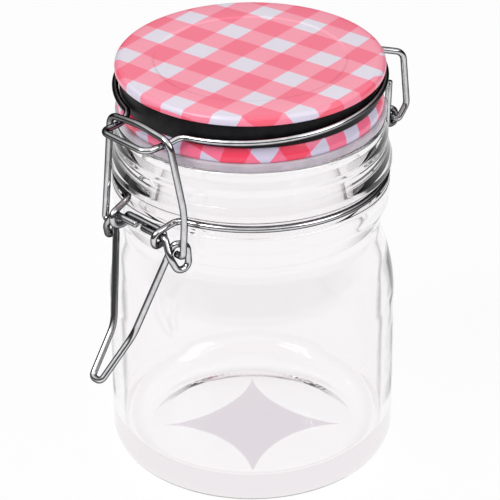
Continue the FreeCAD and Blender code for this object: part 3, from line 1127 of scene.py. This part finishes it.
@dataclass
class Lid:
    """The printed metal lid with its black band and the sealing ring. Sizes in millimetres."""

    seal_height: float = 3.0
    seal_radius: Pair = (37.6, 43.9)
    wall: float = 0.9
    band_radius: Pair = (43.0, 42.0)
    band_top: float = 132.0
    cap_bottom: float = 140.2
    cap_radius: float = 43.75
    cap_rounding: float = 1.7
    step_radius: float = 30.8
    step_depth: float = 0.3
    black_radius: Pair = (41.2, 42.3)
    rim_top: float = field(default_factory=lambda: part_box("glass_jar")[1][2] / MM)
    top: float = field(default_factory=lambda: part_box("lid_metal")[1][2] / MM)

    def metal(self) -> Piece:
        """Turns the pressed metal lid.

        Returns:
            The lid.
        """
        hem, neck = self.band_radius
        low = self.rim_top + self.seal_height
        groove = self.black_radius[0]
        under = self.top - self.step_depth - self.wall
        outline = [
            rz(0.0, self.top - self.step_depth),
            rz(self.step_radius, self.top - self.step_depth, 0.5),
            rz(self.step_radius + 0.8, self.top, 0.5),
            rz(self.cap_radius, self.top, self.cap_rounding, 12),
            rz(self.cap_radius, self.cap_bottom, 0.5),
            rz(groove, self.cap_bottom),
            rz(groove, self.band_top),
            rz(neck, self.band_top, 0.8),
            rz(hem + 0.3, low + 2.2, 3.0, 10),
            rz(hem, low, 0.5),
            rz(hem - self.wall - 0.6, low, 0.4),
            rz(groove - self.wall, self.band_top - 1.6, 1.0),
            rz(groove - self.wall, under, 0.8),
            rz(0.0, under),
        ]
        lid = Lathe.turn("lid_print", outline, 35.0)
        self.lay_print(lid)
        return lid

    def lay_print(self, lid: Piece) -> None:
        """Lays the print flat: its radius is the length along the pressed surface.

        Args:
            lid: The lid, which gets a layout named print, in metres.
        """
        layer = lid.data.uv_layers.new(name="print")
        groove = self.black_radius[0] * MM
        for loop in lid.data.loops:
            place = lid.data.vertices[loop.vertex_index].co
            radius = math.hypot(place.x, place.y)
            flat = radius
            if radius > groove - 0.5 * MM:
                flat = max(radius, self.cap_radius * MM) + (self.top * MM - place.z)
            stretch = flat / radius if radius > 0.001 * MM else 1.0
            layer.data[loop.index].uv = (place.x * stretch, place.y * stretch)

    def black_band(self) -> Piece:
        """Turns the black band in the lid's groove.

        Returns:
            The band.
        """
        inner, outer = self.black_radius
        outline = [
            rz(inner, self.band_top),
            rz(outer, self.band_top, 0.3, 4),
            rz(outer, self.cap_bottom, 0.3, 4),
            rz(inner, self.cap_bottom),
        ]
        return Lathe.ring("lid_black_band", outline, 35.0)

    def seal(self) -> Piece:
        """Turns the sealing ring.

        Returns:
            The ring.
        """
        inner, outer = self.seal_radius
        low, high = self.rim_top, self.rim_top + self.seal_height
        outline = [
            rz(inner, low, 0.4, 4),
            rz(outer, low, 0.9, 8),
            rz(outer, high, 0.7, 8),
            rz(inner, high, 0.4, 4),
        ]
        return Lathe.ring("lid_seal", outline, 60.0)

    def build(self) -> None:
        """Makes the lid's pieces, dresses them and seats them on the lid."""
        plan = [
            (self.metal, GinghamPrint().build(), "printed_metal", "lid_metal"),
            (self.black_band, Rubber.black().build(), "black_rubber", "black_ring"),
            (self.seal, Rubber.seal().build(), "seal_rubber", "gasket"),
        ]
        for make, material, slot, node in plan:
            piece = make()
            dress(piece, material)
            seat(piece, Body.LID, slot, node)


# ------------------------------------------------------------------ stage


@dataclass(frozen=True)
class Lamp:
    """One soft round lamp that faces the jar."""

    name: str
    aside: float
    elevation: float
    size: float
    power: float


@dataclass
class Studio:
    """Plain pale floor, soft lamps, surroundings and the camera. Sizes in metres, angles in degrees."""

    azimuth: float = 46.0
    elevation: float = 29.2
    distance: float = 1.0
    target: Triple = (0.0, 0.0, 0.0723)
    aside: float = -0.0005
    roll: float = -0.4
    lens: float = 216.5
    clip_end: float = 20.0
    white: Colour = (1.0, 1.0, 1.0)
    lit: float = 0.55
    horizon: float = 0.05
    sky: float = 1.0
    sky_rise: Pair = (18.0, 42.0)
    table: Pair = (0.42, 0.95)
    floor_size: float = 6.0
    floor_gap: float = 0.2 * MM
    floor_colour: Colour = (0.9, 0.9, 0.9)
    floor_glow: float = 0.92
    lamp_distance: float = 1.3
    lamps: tuple[Lamp, ...] = (Lamp("key", -50.0, 50.0, 0.6, 7.0), Lamp("fill", 60.0, 35.0, 0.8, 4.0))

    @staticmethod
    def direction(azimuth: float, elevation: float) -> Vector:
        """The direction from the jar towards an azimuth and an elevation in degrees."""
        turn, rise = math.radians(azimuth), math.radians(elevation)
        return Vector((math.sin(turn) * math.cos(rise), -math.cos(turn) * math.cos(rise), math.sin(rise)))

    def camera(self) -> None:
        """Sets up the camera."""
        data = bpy.data.cameras.new("camera")
        data.lens = self.lens
        data.clip_end = self.clip_end
        camera = bpy.data.objects.new("camera", data)
        bpy.context.scene.collection.objects.link(camera)
        back = self.direction(self.azimuth, self.elevation)
        facing = (-back).to_track_quat("-Z", "Y").to_matrix()
        sideways = facing @ Vector((1.0, 0.0, 0.0)) * self.aside
        place = Vector(self.target) + sideways + back * self.distance
        turned = facing @ Matrix.Rotation(math.radians(self.roll), 3, "Z")
        camera.matrix_world = Matrix.Translation(place) @ turned.to_4x4()
        bpy.context.scene.camera = camera

    @staticmethod
    def seen(nodes: Nodes) -> tuple[Socket, Socket]:
        """Which rays see the surroundings as a picture.

        Args:
            nodes: The node tree's helper.

        Returns:
            1 for the camera's rays, and 1 for mirror reflections and rays through glass.
        """
        path = nodes.add("ShaderNodeLightPath").outputs
        bent = nodes.math("MAXIMUM", path["Is Glossy Ray"], path["Is Transmission Ray"])
        return path["Is Camera Ray"], bent

    def floor(self) -> None:
        """Lays the floor: near white to look at, with the jar's shadow, and dim far from the jar."""
        Bench.clear()
        bpy.ops.mesh.primitive_plane_add(size=self.floor_size, location=(0.0, 0.0, -self.floor_gap))
        plane = bpy.context.object
        plane.name = "floor"
        nodes = Nodes("floor")
        matt = nodes.plain("ShaderNodeBsdfDiffuse", self.floor_colour)
        glow = nodes.plain("ShaderNodeEmission", self.white)
        direct, bent = self.seen(nodes)
        reach = nodes.add("ShaderNodeVectorMath", operation="LENGTH")
        nodes.link(nodes.place(), reach.inputs[0])
        fade = nodes.span(
            reach.outputs["Value"], (1.0, self.horizon), self.table, interpolation_type="SMOOTHSTEP"
        )
        nodes.link(nodes.math("MAXIMUM", direct, fade), glow.inputs["Strength"])
        part = nodes.math("MULTIPLY", nodes.math("MAXIMUM", direct, bent), self.floor_glow)
        nodes.finish(nodes.mix(part, matt.outputs["BSDF"], glow.outputs["Emission"]))
        dress(plane, nodes.material)

    def surroundings(self) -> None:
        """White behind the jar, a bright ceiling and a dark horizon in metal and glass, plain light."""
        world = bpy.data.worlds.new("studio")
        bpy.context.scene.world = world
        nodes = Nodes.of_world(world)
        direct, bent = self.seen(nodes)
        height = nodes.split(nodes.place("Generated"))["Z"]
        low, high = (math.sin(math.radians(angle)) for angle in self.sky_rise)
        rise = nodes.span(height, (self.horizon, self.sky), (low, high), interpolation_type="SMOOTHSTEP")
        picture = nodes.plain("ShaderNodeBackground", self.white)
        nodes.link(rise, picture.inputs["Strength"])
        white = nodes.plain("ShaderNodeBackground", self.white)
        plain = nodes.plain("ShaderNodeBackground", self.white)
        plain.inputs["Strength"].default_value = self.lit
        shown = nodes.mix(bent, plain.outputs["Background"], picture.outputs["Background"])
        nodes.finish(nodes.mix(direct, shown, white.outputs["Background"]))

    def hang(self, lamp: Lamp) -> None:
        """Hangs a lamp, its direction counted from the camera's.

        Args:
            lamp: The lamp.
        """
        data = bpy.data.lights.new(lamp.name, "AREA")
        data.shape = "DISK"
        data.size = lamp.size
        data.energy = lamp.power
        hung = bpy.data.objects.new(lamp.name, data)
        bpy.context.scene.collection.objects.link(hung)
        back = self.direction(self.azimuth + lamp.aside, lamp.elevation)
        hung.location = Vector(self.target) + back * self.lamp_distance
        hung.rotation_euler = (-back).to_track_quat("-Z", "Y").to_euler()

    def build(self) -> None:
        """Sets up the camera, the floor, the surroundings and the lamps."""
        self.camera()
        self.floor()
        self.surroundings()
        for lamp in self.lamps:
            self.hang(lamp)
        bpy.context.scene.view_settings.view_transform = "Standard"


def main() -> None:
    """Builds the jar, its wires and its lid, then the studio."""
    logging.basicConfig(level=logging.INFO, format="%(name)s: %(message)s")
    GlassJar().build()
    WireWork().build()
    Lid().build()
    Studio().build()


if __name__ == "__main__":
    main()
